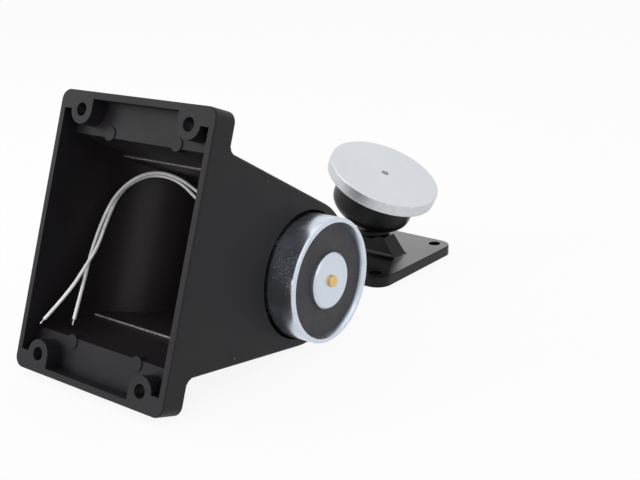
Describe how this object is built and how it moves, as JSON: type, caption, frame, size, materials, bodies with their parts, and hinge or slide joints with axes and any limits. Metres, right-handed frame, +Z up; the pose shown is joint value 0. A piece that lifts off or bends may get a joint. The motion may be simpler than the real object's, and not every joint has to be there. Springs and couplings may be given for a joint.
{
  "type": "electromagnetic door holder",
  "caption": "Electromagnetic door holder: tapered wall unit with a round pot magnet, wired leads and release pin, and a door keeper with a ball-jointed armature disc.",
  "frame": {"origin": "on the table under the middle of the box round both units, as they are set down", "axes": "+Z up, +X the way the magnet's pole face looks, +Y from the wall unit's mounting face towards the door keeper"},
  "size_m": [0.102, 0.2344, 0.1145],
  "materials": {
    "housing_plastic": "satin moulded",
    "keeper_plastic": "glossy moulded",
    "zinc_steel": "turned, bright zinc plated",
    "disc_steel": "ground and zinc plated",
    "dark_potting": "cast resin",
    "bobbin_plastic": "moulded",
    "copper_winding": "lacquered copper wire",
    "pin_brass": "turned",
    "spring_steel": "drawn wire",
    "screw_steel": "zinc plated",
    "stud_steel": "turned",
    "ball_steel": "polished",
    "grommet_rubber": "moulded",
    "lead_jacket": "soft white insulation",
    "tinned_core": "tinned strands",
    "retainer_plastic": "moulded"
  },
  "bodies": {
    "units": {"housing": "housing_plastic", "magnet_cup": "zinc_steel", "pole_core": "zinc_steel", "coil_bobbin": "bobbin_plastic", "coil_winding": "copper_winding", "potting_ring": "dark_potting", "pin_spring": "spring_steel", "magnet_screw": "screw_steel", "flat_washer": "screw_steel", "lock_washer": "screw_steel", "lead_grommet": "grommet_rubber", "lead_a": "lead_jacket", "lead_b": "lead_jacket", "lead_tip_a": "tinned_core", "lead_tip_b": "tinned_core", "keeper_base": "keeper_plastic", "ball_stud": "stud_steel"},
    "pin": {"release_pin": "pin_brass"},
    "pivot": {"pivot_ball": "ball_steel"},
    "head": {"swivel_head": "keeper_plastic", "ball_retainer": "retainer_plastic", "armature_disc": "disc_steel", "disc_screws": "screw_steel"}
  },
  "joints": [
    {"name": "pin_press", "type": "slide", "parent": "units", "child": "pin", "axis": [1, 0, 0], "range_m": [-0.0015, 0], "stiffness_N_per_m": 800, "springref_m": 0.002, "deforming": ["pin_spring"]},
    {"name": "neck_turn", "type": "hinge", "parent": "units", "child": "pivot", "pos_m": [0.0011, 0.08107, 0.0333], "axis": [0, 0, 1], "continuous": true},
    {"name": "head_tilt", "type": "hinge", "parent": "pivot", "child": "head", "pos_m": [0.0011, 0.08107, 0.0333], "axis": [0.0523, 0.9986, 0], "range_deg": [-55.4, 4.6]}
  ]
}
